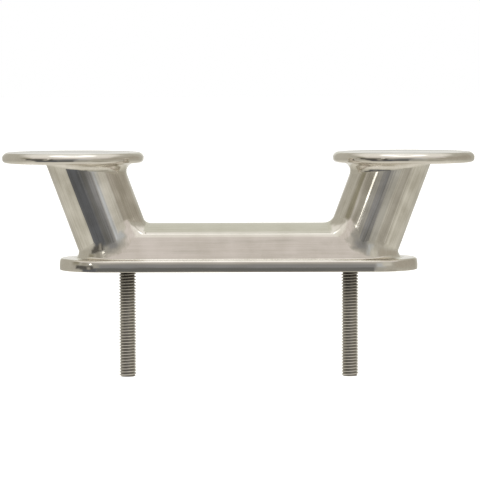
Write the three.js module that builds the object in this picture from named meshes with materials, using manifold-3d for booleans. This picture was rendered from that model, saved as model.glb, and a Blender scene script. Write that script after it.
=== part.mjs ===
// A stud-mounted fairlead chock in polished stainless steel: two round posts lean outwards from a low
// saddle bar, and each carries a flat round cap that keeps the mooring line in the saddle between them.
// It is a weldment: base plate, saddle bar, posts and caps are separate pieces, joined by fillet welds
// that are ground and polished, and two threaded studs screw up into the base to bolt it to a deck.
//
// Millimetres, +Z up. The origin is the middle of the deck face, +X runs along the chock towards its
// right-hand post, and -Y is the front.

import * as THREE from "three";
import { mergeVertices } from "three/addons/utils/BufferGeometryUtils.js";
import Module from "manifold-3d";

const wasm = await Module();
wasm.setup();

// ---------------------------------------------------------------- driving dimensions

const INCH = 25.4;
const GAP = 0.3; // left between pieces that meet on a curved face

const OVERALL_LENGTH = 10 * INCH;
const OVERALL_HEIGHT = 2.5 * INCH; // deck face to the top of the caps

const BASE = { length: 193, width: 50, thickness: 0.25 * INCH, topRound: 1.4, bottomRound: 0.8 };

const CAP = {
  radius: 1.5 * INCH,
  thickness: 6,
  crownRise: 0.4,
  topRound: { depth: 3.4, height: 3 },
  bottomRound: 1.1,
};

const POST = { radius: 19.5, lean: THREE.MathUtils.degToRad(20.4), deckX: 61.6 };

// The saddle bar's section narrows from the base up to a broad crown with rounded shoulders. Its rounded
// ends are a little wider than the posts, which stand on them.
const SADDLE = {
  endX: 66, // centre of each rounded end
  footHalfWidth: 20.8,
  draft: THREE.MathUtils.degToRad(12.3),
  crownRadius: 33,
  shoulderRadius: 3.5,
  topZ: 25,
};

// Fillet radii of the welds, where the two faces meet squarely enough to hold one.
const CAP_WELD = { inner: 4.8, outer: 0.9, spread: 0.35 };
const POST_WELD = { inner: { left: 4, right: 6 }, side: 16, outer: 2 };
const BASE_WELD = { side: 1.6, end: 3 };
const WELD_ROOT = 1.2; // how far a bead is built past the corner, before its neighbours are cut from it

const STUD = { diameter: 0.375 * INCH, spacing: 120, below: 58, engagement: 20, chamfer: 0.9 };
const STUD_HOLE = { clearance: GAP, runOut: 2 };

const SEGMENTS = { cap: 64, post: 48, end: 24, stud: 32, arc: 5, crown: 7 };

// ---------------------------------------------------------------- derived places

const CAP_BOTTOM = OVERALL_HEIGHT - CAP.thickness;
const CAP_X = OVERALL_LENGTH / 2 - CAP.radius;
const BASE_TOP = BASE.thickness;
const CROWN_CENTRE_Z = SADDLE.topZ - SADDLE.crownRadius;
const SIDES = { left: -1, right: 1 };

const vec = (x, y, z) => new THREE.Vector3(x, y, z);

// ---------------------------------------------------------------- materials

const polished = new THREE.MeshStandardMaterial({ color: 0xd3cfc6, roughness: 0.1, metalness: 1 });
const blended = new THREE.MeshStandardMaterial({ color: 0xcac5ba, roughness: 0.16, metalness: 1 });
const rolled = new THREE.MeshStandardMaterial({ color: 0x8f8a80, roughness: 0.38, metalness: 1 });

// ---------------------------------------------------------------- closed surfaces and booleans

// A closed surface through rings of points that all have the same count. An open run is closed by a fan
// at each end, about the ring's first point or, where the ring is a plain outline, about its middle.
function loft(rings, { closed = false, fanFromMiddle = false } = {}) {
  const count = rings[0].length;
  const points = rings.flat();
  const faces = [];
  const steps = closed ? rings.length : rings.length - 1;
  for (let i = 0; i < steps; i++) {
    const here = i * count;
    const next = ((i + 1) % rings.length) * count;
    for (let j = 0; j < count; j++) {
      const k = (j + 1) % count;
      faces.push(here + j, here + k, next + k, here + j, next + k, next + j);
    }
  }
  if (!closed) {
    for (const [start, flip] of [[0, true], [(rings.length - 1) * count, false]]) {
      let hub = start;
      if (fanFromMiddle) {
        const middle = vec(0, 0, 0);
        for (let j = 0; j < count; j++) middle.addScaledVector(points[start + j], 1 / count);
        hub = points.push(middle) - 1;
      }
      for (let j = 0; j < count; j++) {
        const a = start + j;
        const b = start + ((j + 1) % count);
        if (a === hub || b === hub) continue;
        faces.push(hub, flip ? b : a, flip ? a : b);
      }
    }
  }
  const geometry = new THREE.BufferGeometry().setFromPoints(points);
  geometry.setIndex(faces);
  return geometry;
}

function solidOf(geometry) {
  const bare = geometry.clone();
  bare.deleteAttribute("normal");
  bare.deleteAttribute("uv");
  const merged = mergeVertices(bare, 1e-4);
  const mesh = new wasm.Mesh({
    numProp: 3,
    vertProperties: new Float32Array(merged.attributes.position.array),
    triVerts: new Uint32Array(merged.index.array),
  });
  const made = new wasm.Manifold(mesh);
  if (made.volume() > 0) return made;
  const turned = new Uint32Array(merged.index.array);
  for (let i = 0; i < turned.length; i += 3) [turned[i], turned[i + 1]] = [turned[i + 1], turned[i]];
  return new wasm.Manifold(
    new wasm.Mesh({ numProp: 3, vertProperties: mesh.vertProperties, triVerts: turned }),
  );
}

function geometryOf(solid) {
  const { vertProperties, triVerts } = solid.getMesh();
  const geometry = new THREE.BufferGeometry();
  geometry.setAttribute("position", new THREE.BufferAttribute(new Float32Array(vertProperties), 3));
  geometry.setIndex(new THREE.BufferAttribute(new Uint32Array(triVerts), 1));
  const flat = geometry.toNonIndexed();
  flat.computeVertexNormals();
  return flat;
}

// What is left of a solid once its neighbours are cut from it: the largest body, without any sliver.
function cutFrom(solid, ...neighbours) {
  let left = solid;
  for (const other of neighbours) left = left.subtract(other);
  const bodies = left.decompose();
  return bodies.reduce((largest, body) => (body.volume() > largest.volume() ? body : largest));
}

// ---------------------------------------------------------------- outlines

// A round-ended outline about the X axis: straight sides between two end centres.
function stadium(endX, radius, z) {
  const outline = [];
  for (const [sign, start] of [[1, -Math.PI / 2], [-1, Math.PI / 2]]) {
    for (let i = 0; i <= SEGMENTS.end; i++) {
      const angle = start + (Math.PI * i) / SEGMENTS.end;
      outline.push(vec(sign * endX + radius * Math.cos(angle), radius * Math.sin(angle), z));
    }
  }
  return outline;
}

// A quarter turn of an edge rounding, as steps of [how far in from the edge, how far along it].
function quarterRound(depth, height, steps) {
  return Array.from({ length: steps + 1 }, (_, i) => {
    const angle = (Math.PI / 2) * (i / steps);
    return [depth * (1 - Math.cos(angle)), height * Math.sin(angle)];
  });
}

// ---------------------------------------------------------------- distances to the faces welds join

// Distance to the rounded corner where two faces meet, from the distances to both and the cosine of the
// angle between their normals.
function roundedCorner(a, b, cosine, radius) {
  const u = a + radius;
  const v = b + radius;
  if (u <= cosine * v || v <= cosine * u) return Math.max(a, b);
  return Math.sqrt((u * u + v * v - 2 * cosine * u * v) / (1 - cosine * cosine)) - radius;
}

function saddleDistance(p) {
  const out = Math.hypot(Math.max(Math.abs(p.x) - SADDLE.endX, 0), p.y);
  const up = p.z - CROWN_CENTRE_Z;
  const fromCrownCentre = Math.hypot(out, up);
  const side =
    (out - SADDLE.footHalfWidth) * Math.cos(SADDLE.draft) + (p.z - BASE_TOP) * Math.sin(SADDLE.draft);
  const cosine = (out * Math.cos(SADDLE.draft) + up * Math.sin(SADDLE.draft)) / fromCrownCentre;
  return roundedCorner(side, fromCrownCentre - SADDLE.crownRadius, cosine, SADDLE.shoulderRadius);
}

// A post's own axes: along runs up the leaning axis, out points away from the chock's middle.
function postAxes(side) {
  return {
    foot: vec(side * POST.deckX, 0, 0),
    along: vec(side * Math.sin(POST.lean), 0, Math.cos(POST.lean)),
    out: vec(side * Math.cos(POST.lean), 0, -Math.sin(POST.lean)),
  };
}

function postDistance(p, side) {
  const { foot, along } = postAxes(side);
  return p.clone().sub(foot).cross(along).length() - POST.radius;
}

// The point at a radius and a turn about a post's axis, at a height. A turn of 0 is the outboard side.
function aroundPost(side, radius, turn, z) {
  const { foot, along, out } = postAxes(side);
  const spoke = out.clone().multiplyScalar(Math.cos(turn)).add(vec(0, Math.sin(turn), 0));
  const start = foot.clone().addScaledVector(spoke, radius);
  return start.addScaledVector(along, (z - start.z) / along.z);
}

function gradient(distance, p) {
  const h = 1e-3;
  const slope = (d) => distance(p.clone().addScaledVector(d, h)) - distance(p.clone().addScaledVector(d, -h));
  return vec(slope(vec(1, 0, 0)), slope(vec(0, 1, 0)), slope(vec(0, 0, 1))).normalize();
}

// The lowest value between two bounds at which a rising function reaches zero.
function rootOf(rising, low, high) {
  for (let i = 0; i < 40; i++) {
    const middle = (low + high) / 2;
    if (rising(middle) > 0) high = middle;
    else low = middle;
  }
  return (low + high) / 2;
}

// ---------------------------------------------------------------- weld beads

// A bead's section where a ball of its radius rests in the corner: the root behind the corner, then the
// hollow arc from one face to the other, given the directions from the ball's centre to both faces.
function beadSection(centre, radius, toOne, toOther) {
  const between = toOne.angleTo(toOther);
  const middle = toOne.clone().add(toOther).normalize();
  const section = [centre.clone().addScaledVector(middle, radius / Math.cos(between / 2) + WELD_ROOT)];
  for (let i = 0; i <= SEGMENTS.arc; i++) {
    const t = i / SEGMENTS.arc;
    const direction = toOne.clone().multiplyScalar(Math.sin((1 - t) * between));
    direction.addScaledVector(toOther, Math.sin(t * between)).normalize();
    section.push(centre.clone().addScaledVector(direction, radius));
  }
  return section;
}

// ---------------------------------------------------------------- the pieces as solids

function basePlate() {
  const endX = (BASE.length - BASE.width) / 2;
  const half = BASE.width / 2;
  const lower = quarterRound(BASE.bottomRound, BASE.bottomRound, 3).reverse();
  const upper = quarterRound(BASE.topRound, BASE.topRound, 4);
  const rings = [
    ...lower.map(([inset, rise]) => stadium(endX, half - inset, BASE.bottomRound - rise)),
    ...upper.map(([inset, rise]) => stadium(endX, half - inset, BASE_TOP - BASE.topRound + rise)),
  ];
  return solidOf(loft(rings, { fanFromMiddle: true }));
}

// The saddle bar, grown outwards by a margin where it is to be cut from a neighbour.
function saddleBar(margin = 0) {
  const side = SADDLE.draft;
  const shoulder = roundCentre();
  const turns = Array.from({ length: SEGMENTS.crown }, (_, i) => i / (SEGMENTS.crown - 1));
  const crownFrom = Math.atan2(shoulder.z - CROWN_CENTRE_Z, shoulder.out);
  const radius = SADDLE.shoulderRadius + margin;
  const crown = SADDLE.crownRadius + margin;
  const crownTo = Math.PI / 2 - 0.04;
  const profile = [
    [SADDLE.footHalfWidth + margin / Math.cos(side), BASE_TOP],
    ...turns.map((t) => {
      const angle = side + t * (crownFrom - side);
      return [shoulder.out + radius * Math.cos(angle), shoulder.z + radius * Math.sin(angle)];
    }),
    ...turns.slice(1).map((t) => {
      const angle = crownFrom + t * (crownTo - crownFrom);
      return [crown * Math.cos(angle), CROWN_CENTRE_Z + crown * Math.sin(angle)];
    }),
  ];
  return solidOf(loft(profile.map(([out, z]) => stadium(SADDLE.endX, out, z)), { fanFromMiddle: true }));
}

// Where the shoulder's arc is centred: its radius inside both the drafted side and the crown.
function roundCentre() {
  const outAt = (z) =>
    SADDLE.footHalfWidth -
    (SADDLE.shoulderRadius + (z - BASE_TOP) * Math.sin(SADDLE.draft)) / Math.cos(SADDLE.draft);
  const inner = SADDLE.crownRadius - SADDLE.shoulderRadius;
  const z = rootOf((height) => Math.hypot(outAt(height), height - CROWN_CENTRE_Z) - inner, BASE_TOP, SADDLE.topZ);
  return { out: outAt(z), z };
}

function postBlank(side, margin = 0) {
  const turns = Array.from({ length: SEGMENTS.post }, (_, i) => (2 * Math.PI * i) / SEGMENTS.post);
  const ring = (z) => turns.map((turn) => aroundPost(side, POST.radius + margin, turn, z));
  return solidOf(loft([ring(BASE_TOP), ring(CAP_BOTTOM)], { fanFromMiddle: true }));
}

function capDisc(side) {
  const lower = quarterRound(CAP.bottomRound, CAP.bottomRound, 3).reverse();
  const upper = quarterRound(CAP.topRound.depth, CAP.topRound.height, 6);
  const upperStart = OVERALL_HEIGHT - CAP.crownRise - CAP.topRound.height;
  const profile = [
    [0, CAP_BOTTOM],
    ...lower.map(([inset, rise]) => [CAP.radius - inset, CAP_BOTTOM + CAP.bottomRound - rise]),
    ...upper.map(([inset, rise]) => [CAP.radius - inset, upperStart + rise]),
    [0, OVERALL_HEIGHT],
  ].map(([out, z]) => new THREE.Vector2(out, z));
  const lathe = new THREE.LatheGeometry(profile, SEGMENTS.cap);
  lathe.rotateX(Math.PI / 2);
  lathe.translate(side * CAP_X, 0, 0);
  return solidOf(lathe);
}

// The bead under a cap. It is broad inboard, where the post and cap close to an acute corner for the
// line to run in, and dies away to almost nothing outboard.
function capBead(side) {
  const rings = [];
  for (let i = 0; i < SEGMENTS.post; i++) {
    const turn = (2 * Math.PI * i) / SEGMENTS.post;
    const share = Math.pow((1 - Math.cos(turn)) / 2, CAP_WELD.spread);
    const radius = CAP_WELD.outer + (CAP_WELD.inner - CAP_WELD.outer) * share;
    const height = CAP_BOTTOM - radius;
    const centre = aroundPost(side, POST.radius + radius, turn, height);
    const toPost = gradient((p) => postDistance(p, side), centre).negate();
    rings.push(beadSection(centre, radius, toPost, vec(0, 0, 1)));
  }
  return solidOf(loft(rings, { closed: true }));
}

// The post weld's radius by turn: tight in the inner corner, broad where the post and the saddle bar run
// side by side, and small outboard.
function postWeldRadius(turn, inner) {
  const side = Math.sin(turn) ** 2;
  const end = turn > Math.PI / 2 && turn < (3 * Math.PI) / 2 ? inner : POST_WELD.outer;
  return end + (POST_WELD.side - end) * side ** 2;
}

// The bead where a post stands on the saddle bar. Only the inner corner is deep enough to be a piece of its
// own: elsewhere the two run nearly side by side, and the bead feathers out.
function postBead(side, inner) {
  const rings = [];
  for (let i = 0; i < SEGMENTS.post; i++) {
    const turn = (2 * Math.PI * i) / SEGMENTS.post;
    const radius = postWeldRadius(turn, inner);
    const at = (z) => aroundPost(side, POST.radius + radius, turn, z);
    const height = rootOf((z) => saddleDistance(at(z)) - radius, 0, CAP_BOTTOM);
    const centre = at(height);
    const toPost = gradient((p) => postDistance(p, side), centre).negate();
    const toSaddle = gradient(saddleDistance, centre).negate();
    rings.push(beadSection(centre, radius, toPost, toSaddle));
  }
  return solidOf(loft(rings, { closed: true }));
}

// The bead round the saddle bar's foot, on the base plate.
function baseBead() {
  const rings = [];
  for (const side of [1, -1]) {
    for (let i = 0; i <= SEGMENTS.end; i++) {
      const azimuth = Math.PI * (i / SEGMENTS.end - side / 2);
      const spoke = vec(Math.cos(azimuth), Math.sin(azimuth), 0);
      const radius = BASE_WELD.side + (BASE_WELD.end - BASE_WELD.side) * Math.abs(spoke.x);
      const hub = vec(side * SADDLE.endX, 0, BASE_TOP + radius);
      const at = (reach) => hub.clone().addScaledVector(spoke, reach);
      const centre = at(rootOf((reach) => saddleDistance(at(reach)) - radius, 0, BASE.width));
      const toWall = gradient(saddleDistance, centre).negate();
      rings.push(beadSection(centre, radius, toWall, vec(0, 0, -1)));
    }
  }
  return solidOf(loft(rings, { closed: true }));
}

function studRod(side) {
  const radius = STUD.diameter / 2;
  const profile = [
    [0, -STUD.below],
    [radius - STUD.chamfer, -STUD.below],
    [radius, -STUD.below + STUD.chamfer],
    [radius, STUD.engagement - STUD.chamfer],
    [radius - STUD.chamfer, STUD.engagement],
    [0, STUD.engagement],
  ].map(([out, z]) => new THREE.Vector2(out, z));
  const lathe = new THREE.LatheGeometry(profile, SEGMENTS.stud);
  lathe.rotateX(Math.PI / 2);
  lathe.translate((side * STUD.spacing) / 2, 0, 0);
  return solidOf(lathe);
}

// The tapped hole that takes a stud, from below the base plate to past the stud's upper end.
function studHole(side) {
  const length = STUD.engagement + STUD_HOLE.runOut + BASE_TOP;
  const bore = new THREE.CylinderGeometry(
    STUD.diameter / 2 + STUD_HOLE.clearance,
    STUD.diameter / 2 + STUD_HOLE.clearance,
    length,
    SEGMENTS.stud,
  );
  bore.rotateX(Math.PI / 2);
  bore.translate((side * STUD.spacing) / 2, 0, length / 2 - BASE_TOP);
  return solidOf(bore);
}

// ---------------------------------------------------------------- the assembly

const chock = new THREE.Group();

function addPiece(name, solid, material) {
  const mesh = new THREE.Mesh(geometryOf(solid), material);
  mesh.name = name;
  chock.add(mesh);
}

const holes = Object.values(SIDES).map(studHole);
const plate = basePlate();
const grownSaddle = saddleBar(GAP);

addPiece("base_plate", cutFrom(plate, ...holes), polished);
addPiece("saddle_bar", cutFrom(saddleBar(), ...holes), polished);
addPiece("base_weld", cutFrom(baseBead(), plate, grownSaddle), blended);

for (const [name, side] of Object.entries(SIDES)) {
  const cap = capDisc(side);
  const grownPost = postBlank(side, GAP);
  addPiece(`${name}_post`, cutFrom(postBlank(side), grownSaddle), polished);
  addPiece(`${name}_cap`, cap, polished);
  addPiece(`${name}_cap_weld`, cutFrom(capBead(side), grownPost, cap), blended);
  const cornerBead = postBead(side, POST_WELD.inner[name]);
  addPiece(`${name}_post_weld`, cutFrom(cornerBead, grownPost, grownSaddle), blended);
  addPiece(`${name}_stud`, studRod(side), rolled);
}

export default chock;
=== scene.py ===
# The looks of the fairlead chock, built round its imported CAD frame: fine polished surfaces whose weld
# fillets run smoothly into their neighbours, real screw threads, procedural steel and a plain studio.
# Metres and the CAD's own axes throughout: +X along the chock, -Y the front, +Z up from the deck.

import math

import bpy
import numpy as np
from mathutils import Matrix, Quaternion, Vector


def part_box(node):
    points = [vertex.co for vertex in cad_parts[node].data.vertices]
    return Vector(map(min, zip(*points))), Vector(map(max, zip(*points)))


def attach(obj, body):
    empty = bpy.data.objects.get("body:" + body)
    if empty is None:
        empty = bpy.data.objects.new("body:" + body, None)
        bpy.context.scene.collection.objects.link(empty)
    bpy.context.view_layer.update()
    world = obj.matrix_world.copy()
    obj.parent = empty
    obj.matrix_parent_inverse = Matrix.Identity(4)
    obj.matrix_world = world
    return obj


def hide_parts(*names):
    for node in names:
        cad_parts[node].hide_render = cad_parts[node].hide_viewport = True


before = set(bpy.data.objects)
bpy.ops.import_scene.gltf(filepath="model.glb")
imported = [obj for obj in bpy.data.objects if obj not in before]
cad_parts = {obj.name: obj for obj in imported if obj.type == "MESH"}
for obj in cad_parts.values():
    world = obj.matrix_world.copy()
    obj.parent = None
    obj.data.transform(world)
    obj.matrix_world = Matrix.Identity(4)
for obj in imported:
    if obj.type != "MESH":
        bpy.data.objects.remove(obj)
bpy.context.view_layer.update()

# ---------------------------------------------------------------- driving dimensions

MM = 0.001
SIDES = {"left": -1, "right": 1}

POST_LEAN = math.radians(20.4)

# Roundings are chains of arcs from below upwards, as (radius, degrees), where the degrees are how far the
# surface's normal has risen above level by the arc's end.
SADDLE_DRAFT = 12.3
SADDLE_SHOULDER = [(8 * MM, 35), (1 * MM, 58)]
SADDLE_CROWN_END = 89.8  # just short of 90, where both sides of the crown would share the same points
BASE_EDGE = [(0.35 * MM, -6), (16.6 * MM, 11), (1.4 * MM, 90)]
CAP_EDGE = [(1.95 * MM, -6), (8.6 * MM, 2), (2 * MM, 30), (4 * MM, 60), (1.8 * MM, 88.5)]
CAP_CROWN_RISE = 0.42 * MM
CAP_CROWN_HUB = 0.02  # the share of the crown's radius that is left as a flat middle

# Fillet radii of the polished welds. A lower spread keeps more of the cap's weld at its inboard radius.
CAP_WELD_RADIUS = {"inner": 4.8 * MM, "outer": 0.9 * MM, "spread": 0.35}
POST_WELD_INNER_RADIUS = {"left": 4 * MM, "right": 6 * MM}
POST_WELD_SIDE_RADIUS = 34 * MM
POST_WELD_OUTER_RADIUS = 2 * MM
FOOT_WELD_END_RADIUS = {"left": 2.6 * MM, "right": 3.3 * MM}
FOOT_WELD_SIDE_RADIUS = 0.9 * MM
FOOT_WELD_GROWTH = (0.1, 0.9)  # the X parts of the outward direction between which it grows to the end's
WELD_ROOT_DEPTH = 1.2 * MM

# A unified thread, 16 to the inch. Its depth and flats are shares of the pitch.
THREAD_PITCH = 25.4 * MM / 16
THREAD_DEPTH = 0.6134 * THREAD_PITCH
THREAD_CREST_FLAT = 1 / 8
THREAD_ROOT_FLAT = 1 / 4
STUD_CHAMFER = 0.9 * MM

# How finely the surfaces are divided: round a post, a stud or a cap, round an end of the base or saddle,
# along one arc, up one pitch of thread and across a cap's crown.
POST_STEPS = 192
STUD_STEPS = 48
CAP_STEPS = 256
END_STEPS = 96
ARC_STEPS = 14
THREAD_STEPS = 16
CROWN_STEPS = 11

# ---------------------------------------------------------------- places from the frame

_, base_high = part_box("base_plate")
saddle_low, saddle_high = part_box("saddle_bar")
cap_low, cap_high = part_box("right_cap")
post_low, post_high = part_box("right_post")
stud_low, stud_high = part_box("right_stud")

BASE_TOP = base_high.z
CAP_BOTTOM = cap_low.z
CAP_RADIUS = (cap_high.y - cap_low.y) / 2
CAP_X = (cap_low.x + cap_high.x) / 2
SADDLE_FOOT_HALF_WIDTH = (saddle_high.y - saddle_low.y) / 2
SADDLE_END_X = saddle_high.x - SADDLE_FOOT_HALF_WIDTH
POST_RADIUS = (post_high.y - post_low.y) / 2
POST_DECK_X = post_high.x - POST_RADIUS / math.cos(POST_LEAN) - CAP_BOTTOM * math.tan(POST_LEAN)
STUD_RADIUS = (stud_high.x - stud_low.x) / 2
STUD_X = (stud_low.x + stud_high.x) / 2

# ---------------------------------------------------------------- distances to the joined surfaces
# Both ends of the chock are alike apart from their weld radii, so shapes are worked out for the
# right-hand end, and mirrored for the left. Points are arrays whose last axis is x, y, z.

POST_FOOT = np.array([POST_DECK_X, 0, 0])
POST_ALONG = np.array([math.sin(POST_LEAN), 0, math.cos(POST_LEAN)])
POST_OUT = np.array([math.cos(POST_LEAN), 0, -math.sin(POST_LEAN)])
POST_ACROSS = np.array([0, 1, 0])
UP = np.array([0, 0, 1])

ROOT_HALVINGS = 40


def unit(vectors):
    return vectors / np.linalg.norm(vectors, axis=-1, keepdims=True)


def dot(a, b):
    return np.sum(a * b, axis=-1)


def gradient(distance, points, step=1e-6):
    """The direction in which a distance grows fastest at each point."""
    slopes = [distance(points + step * axis) - distance(points - step * axis) for axis in np.eye(3)]
    return unit(np.stack(slopes, axis=-1))


def post_distance(points):
    return np.linalg.norm(np.cross(points - POST_FOOT, POST_ALONG), axis=-1) - POST_RADIUS


def facing(degrees):
    """The direction [out, height] at an angle above level."""
    return np.array([math.cos(math.radians(degrees)), math.sin(math.radians(degrees))])


def saddle_section():
    """The saddle's half section above its straight side, as (centre, radius, first angle, last angle) arcs.
    The side is as tall as lets the crown, which starts where the shoulder ends, reach the saddle's top."""
    draft = facing(SADDLE_DRAFT)
    crown_from = facing(SADDLE_SHOULDER[-1][1])
    starts = [SADDLE_DRAFT] + [end for _, end in SADDLE_SHOULDER]
    spans = zip(starts, SADDLE_SHOULDER)
    shoulder = sum(radius * (facing(end) - facing(start)) for start, (radius, end) in spans)
    crown_rise = (1 - crown_from[1]) / crown_from[0]
    rise = saddle_high.z - BASE_TOP - shoulder[1] - crown_rise * (SADDLE_FOOT_HALF_WIDTH + shoulder[0])
    side_length = rise / (draft[0] - crown_rise * draft[1])
    point = np.array([SADDLE_FOOT_HALF_WIDTH, BASE_TOP]) + side_length * np.array([-draft[1], draft[0]])
    crown_radius = (point[0] + shoulder[0]) / crown_from[0]
    arcs = []
    for start, (radius, end) in zip(starts, SADDLE_SHOULDER + [(crown_radius, 90)]):
        centre = point - radius * facing(start)
        arcs.append((centre, radius, start, end))
        point = centre + radius * facing(end)
    return arcs


def saddle_distance(points):
    """How far points stand off the saddle's side, shoulder and crown, which its rounded ends share."""
    out = np.hypot(np.maximum(np.abs(points[..., 0]) - SADDLE_END_X, 0), points[..., 1])
    place = np.stack([out, points[..., 2]], axis=-1)
    distance = (place - [SADDLE_FOOT_HALF_WIDTH, BASE_TOP]) @ facing(SADDLE_DRAFT)
    for centre, radius, start, _ in saddle_section():
        spoke = place - centre
        past_start = spoke @ np.array([-facing(start)[1], facing(start)[0]]) > 0
        distance = np.where(past_start, np.linalg.norm(spoke, axis=-1) - radius, distance)
    return distance


def full_turn(steps):
    return np.linspace(0, 2 * math.pi, steps, endpoint=False)


def post_spokes(turn):
    """Directions square to the post's axis. A turn of 0 is outboard."""
    return np.cos(turn)[:, None] * POST_OUT + np.sin(turn)[:, None] * POST_ACROSS


def around_post(radius, turn, height):
    """Points at a radius and a turn about the post's axis, at a height."""
    start = POST_FOOT + np.asarray(radius)[..., None] * post_spokes(turn)
    return start + ((height - start[:, 2]) / POST_ALONG[2])[:, None] * POST_ALONG


def smooth_step(low, high, value):
    share = np.clip((value - low) / (high - low), 0, 1)
    return share * share * (3 - 2 * share)


def root_of(rising, low, high):
    """Where a rising function of an array crosses zero, between two bounds."""
    for _ in range(ROOT_HALVINGS):
        middle = (low + high) / 2
        over = rising(middle) > 0
        low, high = np.where(over, low, middle), np.where(over, middle, high)
    return (low + high) / 2


# ---------------------------------------------------------------- meshes from rings of points


def loft(name, rings, normals=None, closed=False):
    """A closed surface through rings of points: an open run is capped at both ends. A normal of zero is
    worked out from the faces."""
    runs, count = rings.shape[:2]
    index = np.arange(runs * count).reshape(runs, count)
    here, after = (index, np.roll(index, -1, axis=0)) if closed else (index[:-1], index[1:])
    quads = np.stack([here, np.roll(here, -1, axis=1), np.roll(after, -1, axis=1), after], axis=-1)
    faces = quads.reshape(-1, 4).tolist()
    if not closed:
        faces += [index[0][::-1].tolist(), index[-1].tolist()]
    points = rings.reshape(-1, 3)
    corners = points[quads.reshape(-1, 4)]
    middle = points.mean(axis=0)
    across = np.cross(corners[:, 1] - corners[:, 0], corners[:, 2] - corners[:, 0])
    facing_out = dot(across, corners[:, 0] - middle).sum() > 0
    if not facing_out:
        faces = [face[::-1] for face in faces]
    mesh = bpy.data.meshes.new(name)
    mesh.from_pydata(points.tolist(), [], faces)
    mesh.shade_smooth()
    if normals is not None:
        flat_normals = normals.reshape(-1, 3)
        mesh.normals_split_custom_set([flat_normals[loop.vertex_index] for loop in mesh.loops])
    return mesh


def add_piece(node, slot, material, rings, normals=None, closed=False):
    """A piece that takes the place of a CAD node of the same name."""
    mesh = loft(node, rings, normals, closed)
    mesh.materials.append(material)
    finish = "threaded" if slot == "rolled_thread" else "polished"
    piece = bpy.data.objects.new(f"{node}_{finish}", mesh)
    bpy.context.scene.collection.objects.link(piece)
    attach(piece, "root")
    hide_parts(node)


def mirrored(points, side):
    """Points or normals of the right-hand end, moved to the side's own end."""
    return points * np.array([side, 1, 1])


def arc_chain(start, arcs, steps=ARC_STEPS):
    """Points and normals of arcs that run on from each other, from a point whose normal faces down."""
    points, angles = [np.array(start, float)], [-math.pi / 2]
    for radius, end in arcs:
        first = angles[-1]
        centre = points[-1] - radius * np.array([math.cos(first), math.sin(first)])
        for i in range(1, steps + 1):
            angle = first + (math.radians(end) - first) * i / steps
            points.append(centre + radius * np.array([math.cos(angle), math.sin(angle)]))
            angles.append(angle)
    return np.array(points), np.column_stack([np.cos(angles), np.sin(angles)])


def level_spokes(turn):
    return np.column_stack([np.cos(turn), np.sin(turn), np.zeros_like(turn)])


def stadium_spokes():
    """Outward directions round a round-ended outline along the X axis, and each one's end as 1 or -1."""
    spokes = level_spokes(np.linspace(-math.pi / 2, math.pi / 2, END_STEPS + 1))
    return np.concatenate([spokes, -spokes]), np.repeat([1, -1], END_STEPS + 1)


def stadium_rings(end_x, profile, profile_normals):
    """Rings that carry a profile of [out, height] round a round-ended outline."""
    spokes, ends = stadium_spokes()
    hubs = np.outer(ends * end_x, [1, 0, 0])
    rings = hubs + profile[:, :1, None] * spokes + profile[:, 1:, None] * UP
    normals = profile_normals[:, :1, None] * spokes + profile_normals[:, 1:, None] * UP
    return rings, normals


# ---------------------------------------------------------------- weld beads


def bead_rings(centres, radii, to_one, to_other):
    """Sections of a bead where a ball rests in a corner, from its centres and directions to both faces.
    An arc takes its neighbours' normals where it meets them, and a root point lies behind the corner."""
    between = np.arccos(np.clip(dot(to_one, to_other), -1, 1))
    shares = np.linspace(0, 1, ARC_STEPS + 1)
    weights_one = np.sin(np.outer(1 - shares, between))[..., None]
    weights_other = np.sin(np.outer(shares, between))[..., None]
    directions = unit(weights_one * to_one + weights_other * to_other)
    arcs = centres + radii[:, None] * directions
    reach = radii / np.cos(between / 2) + WELD_ROOT_DEPTH
    roots = centres + reach[:, None] * unit(to_one + to_other)
    rings = np.concatenate([arcs, roots[None]]).transpose(1, 0, 2)
    normals = np.zeros_like(rings)
    normals[:, 0] = -to_one
    normals[:, ARC_STEPS] = -to_other
    return rings, normals


def cap_weld(side):
    """The bead under a cap, broad inboard, where post and cap close to an acute corner, and small
    outboard."""
    turn = full_turn(POST_STEPS)
    share = ((1 - np.cos(turn)) / 2) ** CAP_WELD_RADIUS["spread"]
    radii = CAP_WELD_RADIUS["outer"] + (CAP_WELD_RADIUS["inner"] - CAP_WELD_RADIUS["outer"]) * share
    centres = around_post(POST_RADIUS + radii, turn, CAP_BOTTOM - radii)
    to_post = -gradient(post_distance, centres)
    rings, normals = bead_rings(centres, radii, to_post, np.broadcast_to(UP, to_post.shape))
    return mirrored(rings, side), mirrored(normals, side)


def post_weld(name, side):
    """The bead where a post stands on the saddle: tight in the inner corner, where they meet square,
    broad where they run side by side, and small outboard."""
    turn = full_turn(2 * POST_STEPS)
    end_radii = np.where(np.cos(turn) < 0, POST_WELD_INNER_RADIUS[name], POST_WELD_OUTER_RADIUS)
    radii = end_radii + (POST_WELD_SIDE_RADIUS - end_radii) * np.sin(turn) ** 4

    def at_height(z):
        return around_post(POST_RADIUS + radii, turn, z)

    low, high = np.zeros_like(turn), np.full_like(turn, CAP_BOTTOM)
    centres = at_height(root_of(lambda z: saddle_distance(at_height(z)) - radii, low, high))
    to_post = -gradient(post_distance, centres)
    to_saddle = -gradient(saddle_distance, centres)
    rings, normals = bead_rings(centres, radii, to_post, to_saddle)
    return mirrored(rings, side), mirrored(normals, side)


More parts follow.
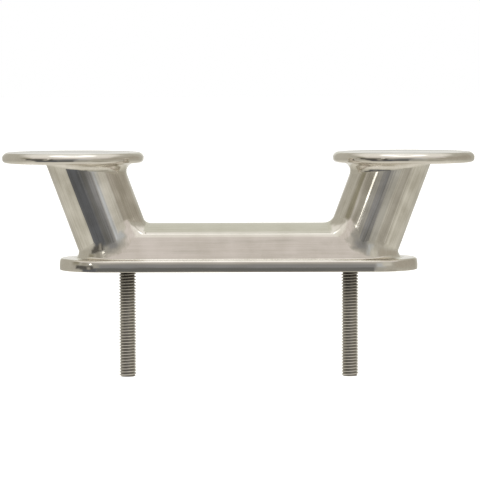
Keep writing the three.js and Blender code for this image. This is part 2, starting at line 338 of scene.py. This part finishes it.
def foot_weld():
    """The bead round the saddle's foot, on the base plate: one end after the other, as a single loop."""
    spokes, ends = stadium_spokes()
    spoke = spokes[ends == 1]
    outboard = smooth_step(*FOOT_WELD_GROWTH, spoke[:, 0])
    all_rings, all_normals = [], []
    for name, side in SIDES.items():
        radii = FOOT_WELD_SIDE_RADIUS + (FOOT_WELD_END_RADIUS[name] - FOOT_WELD_SIDE_RADIUS) * outboard
        hub = np.array([SADDLE_END_X, 0, BASE_TOP]) + radii[:, None] * UP
        low, high = np.zeros_like(radii), np.full_like(radii, base_high.y)
        reach = root_of(lambda r: saddle_distance(hub + r[:, None] * spoke) - radii, low, high)
        centres = hub + reach[:, None] * spoke
        to_wall = -gradient(saddle_distance, centres)
        rings, normals = bead_rings(centres, radii, to_wall, np.broadcast_to(-UP, to_wall.shape))
        # Mirroring turns the left end's run round, so it is taken backwards.
        order = slice(None, None, side)
        all_rings.append(mirrored(rings, side)[order])
        all_normals.append(mirrored(normals, side)[order])
    return np.concatenate(all_rings), np.concatenate(all_normals)


# ---------------------------------------------------------------- the other pieces


def base_plate():
    """The edge's section carried round the outline, fitted to the CAD's thickness and width."""
    profile, normals = arc_chain((0, 0), BASE_EDGE)
    profile[:, 1] *= BASE_TOP / profile[-1, 1]
    half_width = base_high.y
    profile[:, 0] += half_width - profile[:, 0].max()
    return stadium_rings(base_high.x - half_width, profile, normals)


def saddle_bar():
    points, angles = [[SADDLE_FOOT_HALF_WIDTH, BASE_TOP]], [SADDLE_DRAFT]
    for centre, radius, start, end in saddle_section():
        for angle in np.linspace(start, min(end, SADDLE_CROWN_END), ARC_STEPS + 1):
            points.append(centre + radius * facing(angle))
            angles.append(angle)
    return stadium_rings(SADDLE_END_X, np.array(points), np.array([facing(angle) for angle in angles]))


def post(side):
    turn = full_turn(POST_STEPS)
    rings = np.stack([around_post(POST_RADIUS, turn, z) for z in (BASE_TOP, CAP_BOTTOM)])
    spokes = post_spokes(turn)
    return mirrored(rings, side), mirrored(np.stack([spokes, spokes]), side)


def cap(side):
    """A disc with a rounded rim and a slightly crowned top."""
    rim, rim_normals = arc_chain((0, 0), CAP_EDGE, steps=2 * ARC_STEPS)
    rim[:, 0] += CAP_RADIUS - rim[:, 0].max()
    crown_radius, crown_start = rim[-1]
    share = np.linspace(1, CAP_CROWN_HUB, CROWN_STEPS + 1)[1:]
    crown = np.column_stack([crown_radius * share, crown_start + CAP_CROWN_RISE * (1 - share**2)])
    slope = 2 * CAP_CROWN_RISE / crown_radius * share
    profile = np.concatenate([rim, crown])
    normals = np.concatenate([rim_normals, unit(np.column_stack([slope, np.ones_like(slope)]))])
    spokes = level_spokes(full_turn(CAP_STEPS))
    rings = profile[:, :1, None] * spokes + profile[:, 1:, None] * UP + np.array([CAP_X, 0, CAP_BOTTOM])
    ring_normals = normals[:, :1, None] * spokes + normals[:, 1:, None] * UP
    return mirrored(rings, side), mirrored(ring_normals, side)


def stud(side):
    """A right-hand thread cut on a rod. Its lower end is chamfered, and its upper end is in the base."""
    steps = int((BASE_TOP / 2 - stud_low.z) / THREAD_PITCH * THREAD_STEPS)
    height = stud_low.z + np.arange(steps + 1) * THREAD_PITCH / THREAD_STEPS
    turn = full_turn(STUD_STEPS)
    phase = (height[:, None] / THREAD_PITCH - turn / (2 * math.pi)) % 1
    near_crest = 1 - np.abs(2 * phase - 1)
    flank = 1 - THREAD_CREST_FLAT - THREAD_ROOT_FLAT
    ridge = np.clip((near_crest - THREAD_ROOT_FLAT) / flank, 0, 1)
    radius = STUD_RADIUS - THREAD_DEPTH * (1 - ridge)
    tip = STUD_RADIUS - STUD_CHAMFER + (height - stud_low.z)[:, None]
    radius = np.minimum(radius, tip)
    x = side * STUD_X + radius * np.cos(turn)
    y = radius * np.sin(turn)
    return np.stack([x, y, np.broadcast_to(height[:, None], x.shape)], axis=-1)


# ---------------------------------------------------------------- materials

# Each pair of colours is the steel with the least and the most tarnish or, for GREY, a thread's deepest
# roots, nearly black as painted shade, and its crests.
WARM = ((0.82, 0.79, 0.74), (0.73, 0.70, 0.64))
STREAKED = ((0.91, 0.88, 0.83), (0.61, 0.58, 0.52))
DULL = ((0.83, 0.80, 0.75), (0.71, 0.68, 0.61))
GREY = ((0.08, 0.07, 0.055), (0.86, 0.84, 0.80))
TARNISH_SPACING = 14 * MM
STREAK_SHARE = 0.25  # how far the finest relief moves the colour either way

# How much of a thread's colour comes from being on a crest rather than in a root's painted shade, and how
# much from lying below the painted shadow that the base plate casts over the stud's top stretch.
CREST_SHARE = 0.55
UNSHADOWED_SHARE = 0.40
BASE_SHADOW_LENGTH = 22 * MM

# The buffing's relief from coarse to fine, as waves, streaks and scratches: each (depth, spacing, stretch).
PLATE_RELIEF = [(0.35 * MM, 17 * MM, 3), (0.03 * MM, 4 * MM, 12), (0.004 * MM, 0.9 * MM, 40)]
CAP_RELIEF = [(0.70 * MM, 17 * MM, 3), (0.03 * MM, 4 * MM, 5), (0.003 * MM, 0.9 * MM, 30)]
POST_RELIEF = [(0.50 * MM, 17 * MM, 4), (0.22 * MM, 4.2 * MM, 22), (0.05 * MM, 1.0 * MM, 50)]
WELD_RELIEF = [(0.60 * MM, 14 * MM, 1), (0.05 * MM, 4 * MM, 2), (0.005 * MM, 0.9 * MM, 4)]
THREAD_RELIEF = [(0.02 * MM, 1.4 * MM, 1)]

# The lowest and highest roughness of each surface.
PLATE_ROUGHNESS = (0.07, 0.20)
CAP_ROUGHNESS = (0.03, 0.11)
POST_ROUGHNESS = (0.05, 0.18)
WELD_ROUGHNESS = (0.09, 0.26)
THREAD_ROUGHNESS = (0.14, 0.34)

NOISE_RANGE = (0.3, 0.7)  # where nearly all of the noise's values lie


def new_material(name):
    material = bpy.data.materials.new(name)
    material.use_nodes = True
    return material, material.node_tree


def add_node(tree, kind, values=None, **settings):
    """A shader node with its settings. Its inputs are numbers, colours or other nodes' outputs."""
    node = tree.nodes.new(kind)
    for key, value in settings.items():
        setattr(node, key, value)
    for key, value in (values or {}).items():
        if isinstance(value, bpy.types.NodeSocket):
            tree.links.new(value, node.inputs[key])
        else:
            node.inputs[key].default_value = value
    return node


def grain(tree, turn, spacing, stretch, detail=2.0):
    """Noise of a spacing on the object's own axes, drawn out along Z after a turn about Y."""
    place = add_node(tree, "ShaderNodeTexCoord").outputs["Object"]
    turned = add_node(tree, "ShaderNodeMapping", {"Vector": place, "Rotation": (0, turn, 0)}).outputs[0]
    stretched = {"Vector": turned, "Scale": (1, 1, 1 / stretch)}
    drawn = add_node(tree, "ShaderNodeMapping", stretched).outputs[0]
    values = {"Vector": drawn, "Scale": 1 / spacing, "Detail": detail}
    return add_node(tree, "ShaderNodeTexNoise", values).outputs["Fac"]


def in_range(tree, value, low, high):
    """Noise spread over a range."""
    noise_low, noise_high = NOISE_RANGE
    values = {"Value": value, "From Min": noise_low, "From Max": noise_high, "To Min": low, "To Max": high}
    return add_node(tree, "ShaderNodeMapRange", values).outputs[0]


def maths(tree, operation, *values):
    return add_node(tree, "ShaderNodeMath", dict(enumerate(values)), operation=operation).outputs[0]


def between_colours(tree, factor, colours):
    mix = add_node(tree, "ShaderNodeMix", {"Factor": factor}, data_type="RGBA")
    mix.inputs["A"].default_value = (*colours[0], 1)
    mix.inputs["B"].default_value = (*colours[1], 1)
    return mix.outputs["Result"]


def thread_painted_shade(tree):
    """Painted shade on a stud: light on its crests, dark in its roots as painted shade, and darker still
    near the base plate as its painted shadow.
    """
    place = add_node(tree, "ShaderNodeTexCoord").outputs["Object"]
    x, y, z = add_node(tree, "ShaderNodeSeparateXYZ", {"Vector": place}).outputs
    off_axis = maths(tree, "SUBTRACT", maths(tree, "ABSOLUTE", x), STUD_X)
    squares = [maths(tree, "MULTIPLY", side, side) for side in (off_axis, y)]
    radius = maths(tree, "SQRT", maths(tree, "ADD", *squares))
    # Painted shade in the roots: the colour darkens the deeper a point lies below the crests.
    painted_shade = {"Value": radius, "From Min": STUD_RADIUS - THREAD_DEPTH, "From Max": STUD_RADIUS}
    crest = add_node(tree, "ShaderNodeMapRange", painted_shade).outputs[0]
    # Painted shadow of the base plate: darker over the stud's top stretch, next to the plate.
    below_base = {"Value": z, "From Min": 0.0, "From Max": -BASE_SHADOW_LENGTH, "To Max": UNSHADOWED_SHARE}
    unshadowed = add_node(tree, "ShaderNodeMapRange", below_base).outputs[0]
    return maths(tree, "MULTIPLY_ADD", crest, CREST_SHARE, unshadowed)


def steel(name, colours, roughness, turn, relief, painted_shade=None):
    """Bare stainless. The finest step of its relief also breaks up the gloss. Its colour follows a given
    painted shade, or else the tarnish with that finest step as streaks."""
    material, tree = new_material(name)
    shader = tree.nodes["Principled BSDF"]
    shader.inputs["Metallic"].default_value = 1.0
    tarnish = in_range(tree, grain(tree, 0, TARNISH_SPACING, 1, detail=4.0), 0, 1)
    normal = None
    for depth, spacing, stretch in relief:
        height = grain(tree, turn, spacing, stretch)
        values = {"Strength": 1.0, "Distance": depth, "Height": height}
        if normal:
            values["Normal"] = normal
        normal = add_node(tree, "ShaderNodeBump", values).outputs[0]
    tree.links.new(normal, shader.inputs["Normal"])
    worn = maths(tree, "MULTIPLY", tarnish, height)
    streaks = in_range(tree, height, -STREAK_SHARE, STREAK_SHARE)
    # A given painted shade, as on the threads, sets the colour in place of the tarnish.
    shade = painted_shade(tree) if painted_shade else maths(tree, "ADD", tarnish, streaks)
    tree.links.new(between_colours(tree, shade, colours), shader.inputs["Base Color"])
    gloss = {"Value": worn, "To Min": roughness[0], "To Max": roughness[1]}
    tree.links.new(add_node(tree, "ShaderNodeMapRange", gloss).outputs[0], shader.inputs["Roughness"])
    return material


# ---------------------------------------------------------------- the studio

# What the steel mirrors, in degrees: azimuths run from the camera's side towards the left, up to 180 behind
# the chock, and elevations are above level. The sky is a ramp of (elevation, colour).
SKY = [
    (-90, (0.60, 0.57, 0.50)),
    (-50, (0.82, 0.79, 0.72)),
    (-20, (0.60, 0.58, 0.51)),
    (-4, (0.46, 0.44, 0.39)),
    (10, (0.46, 0.44, 0.39)),
    (24, (0.64, 0.61, 0.57)),
    (45, (0.88, 0.85, 0.80)),
    (62, (0.95, 0.93, 0.89)),
    (90, (1.10, 1.09, 1.06)),
]

# Panels cover the sky and each other in this order. Each is (azimuth, elevation, half width, half height,
# softness, colour). One that lies across the back is there twice, since azimuths run out at 180 and -180,
# and one that reaches all round is 400 wide.
PANELS = [
    (-130, 20, 42, 19, 15, (0.50, 0.48, 0.42)),
    (135, 19, 38, 18, 14, (0.50, 0.48, 0.42)),
    (180, 35, 12, 24, 8, (0.68, 0.68, 0.60)),
    (-180, 35, 12, 24, 8, (0.68, 0.68, 0.60)),
    (180, -8, 12, 11, 14, (0.88, 0.87, 0.83)),
    (-180, -8, 12, 11, 14, (0.88, 0.87, 0.83)),
    (180, 1, 20, 1, 2, (0.64, 0.635, 0.60)),
    (-180, 1, 20, 1, 2, (0.64, 0.635, 0.60)),
    (-100, 12, 35, 10, 14, (0.43, 0.40, 0.34)),
    (-50, -18, 10, 3, 10, (0.40, 0.38, 0.33)),
    (0, 30, 70, 9, 4, (0.73, 0.68, 0.65)),
    (80, 18, 4, 5, 12, (0.30, 0.28, 0.21)),
    (54, 14, 4, 3, 8, (0.36, 0.34, 0.29)),
    (28, 9, 10, 3, 10, (0.38, 0.37, 0.34)),
    (-22, 6, 7, 3, 10, (0.54, 0.56, 0.58)),
    (-38, 11, 8, 5, 8, (0.64, 0.62, 0.56)),
    (-20, -10, 6, 3, 10, (0.42, 0.41, 0.37)),
    (3, 0, 6, 6, 14, (0.275, 0.275, 0.28)),
    (12, -9, 8, 3, 9, (0.23, 0.235, 0.24)),
    (40, -12, 15, 6, 9, (0.12, 0.125, 0.135)),
    (50, -4, 14, 1, 7, (0.12, 0.115, 0.11)),
    (54, 0, 22, 3, 5, (0.11, 0.105, 0.095)),
    (41, -3, 1, 2, 6, (0.36, 0.34, 0.30)),
    (8, -10, 10, 5.5, 5, (0.15, 0.15, 0.145)),
    (37, 12, 2.2, 1.4, 1.2, (2.6, 2.55, 2.4)),
    (20, 90, 400, 18, 4, (1.40, 1.39, 1.37)),
    (20, 90, 400, 7, 4, (0.76, 0.75, 0.73)),
    (0, 74, 80, 4, 5, (1.9, 1.9, 1.89)),
]


def world_map():
    """The studio's walls, ceiling and soft panels, by direction. The camera itself sees plain white."""
    world = bpy.data.worlds.new("studio")
    world.use_nodes = True
    bpy.context.scene.world = world
    tree = world.node_tree
    way = add_node(tree, "ShaderNodeTexCoord").outputs["Generated"]
    x, y, z = add_node(tree, "ShaderNodeSeparateXYZ", {"Vector": way}).outputs

    to_left = maths(tree, "MULTIPLY", x, -1)
    to_camera = maths(tree, "MULTIPLY", y, -1)
    azimuth = maths(tree, "DEGREES", maths(tree, "ARCTAN2", to_left, to_camera))
    elevation = maths(tree, "DEGREES", maths(tree, "ARCSINE", z))

    nadir_to_zenith = 180
    level = 0.5
    upwards = maths(tree, "MULTIPLY_ADD", elevation, 1 / nadir_to_zenith, level)
    ramp = add_node(tree, "ShaderNodeValToRGB", {"Fac": upwards})
    stops = ramp.color_ramp.elements
    while len(stops) < len(SKY):
        stops.new(level)
    for stop, (angle, colour) in zip(stops, SKY):
        stop.position = angle / nadir_to_zenith + level
        stop.color = (*colour, 1)
    light = ramp.outputs["Color"]

    for at, up, half_width, half_height, softness, colour in PANELS:
        masks = []
        for value, middle, half in ((azimuth, at, half_width), (elevation, up, half_height)):
            off = maths(tree, "ABSOLUTE", maths(tree, "SUBTRACT", value, middle))
            edge = {"Value": off, "From Min": half + softness, "From Max": half}
            mask = add_node(tree, "ShaderNodeMapRange", edge, interpolation_type="SMOOTHSTEP")
            masks.append(mask.outputs[0])
        cover = maths(tree, "MULTIPLY", *masks)
        mix = add_node(tree, "ShaderNodeMix", {"Factor": cover}, data_type="RGBA")
        tree.links.new(light, mix.inputs["A"])
        mix.inputs["B"].default_value = (*colour, 1)
        light = mix.outputs["Result"]

    seen = add_node(tree, "ShaderNodeLightPath").outputs["Is Camera Ray"]
    shown = add_node(tree, "ShaderNodeMix", {"Factor": seen}, data_type="RGBA")
    tree.links.new(light, shown.inputs["A"])
    shown.inputs["B"].default_value = (1, 1, 1, 1)
    tree.links.new(shown.outputs["Result"], tree.nodes["Background"].inputs["Color"])


def floor():
    """A plain white floor that glows a little, well below the studs, that the steel doesn't mirror."""
    half = 40
    below_studs = 0.25
    material, tree = new_material("floor_white")
    shader = tree.nodes["Principled BSDF"]
    shader.inputs["Base Color"].default_value = (0.9, 0.9, 0.9, 1)
    shader.inputs["Roughness"].default_value = 0.9
    shader.inputs["Emission Color"].default_value = (1, 1, 1, 1)
    shader.inputs["Emission Strength"].default_value = 0.6
    mesh = bpy.data.meshes.new("floor")
    corners = [(-half, -half, 0), (half, -half, 0), (half, half, 0), (-half, half, 0)]
    mesh.from_pydata(corners, [], [(0, 1, 2, 3)])
    mesh.materials.append(material)
    plane = bpy.data.objects.new("floor", mesh)
    plane.location.z = stud_low.z - below_studs
    plane.visible_glossy = False
    bpy.context.scene.collection.objects.link(plane)


def camera():
    """At the photo's angle: straight in front, a little above the caps, and very slightly rolled."""
    distance = 1.40
    eye_height = 0.106
    aim_height = 0.0156
    to_right = 0.0008
    width_seen = 0.2587  # at the distance of the chock's middle
    roll = math.radians(-0.15)
    aim = Vector((to_right, 0, aim_height))
    eye = Vector((to_right, -distance, eye_height))
    data = bpy.data.cameras.new("camera")
    data.lens = data.sensor_width * (aim - eye).length / width_seen
    holder = bpy.data.objects.new("camera", data)
    holder.location = eye
    holder.rotation_mode = "QUATERNION"
    level = (aim - eye).to_track_quat("-Z", "Y")
    holder.rotation_quaternion = level @ Quaternion((0, 0, 1), roll)
    bpy.context.scene.collection.objects.link(holder)
    bpy.context.scene.camera = holder


# ---------------------------------------------------------------- building it

along_chock = math.pi / 2
plate_steel = steel("plate_steel", WARM, PLATE_ROUGHNESS, along_chock, PLATE_RELIEF)
cap_steel = steel("cap_steel", WARM, CAP_ROUGHNESS, along_chock, CAP_RELIEF)
weld_steel = steel("weld_steel", DULL, WELD_ROUGHNESS, 0, WELD_RELIEF)
# The threads' colour is painted shade: dark in the roots and darker still in the base plate's painted
# shadow.
thread_steel = steel("thread_steel", GREY, THREAD_ROUGHNESS, 0, THREAD_RELIEF, thread_painted_shade)

add_piece("base_plate", "polished_stainless", plate_steel, *base_plate())
add_piece("saddle_bar", "polished_stainless", plate_steel, *saddle_bar())
add_piece("base_weld", "blended_weld", weld_steel, *foot_weld(), closed=True)

for name, side in SIDES.items():
    post_steel = steel(f"{name}_post_steel", STREAKED, POST_ROUGHNESS, -side * POST_LEAN, POST_RELIEF)
    add_piece(f"{name}_post", "polished_stainless", post_steel, *post(side))
    add_piece(f"{name}_cap", "polished_stainless", cap_steel, *cap(side))
    add_piece(f"{name}_cap_weld", "blended_weld", weld_steel, *cap_weld(side), closed=True)
    add_piece(f"{name}_post_weld", "blended_weld", weld_steel, *post_weld(name, side), closed=True)
    add_piece(f"{name}_stud", "rolled_thread", thread_steel, stud(side))

world_map()
floor()
camera()
bpy.context.scene.view_settings.view_transform = "Standard"
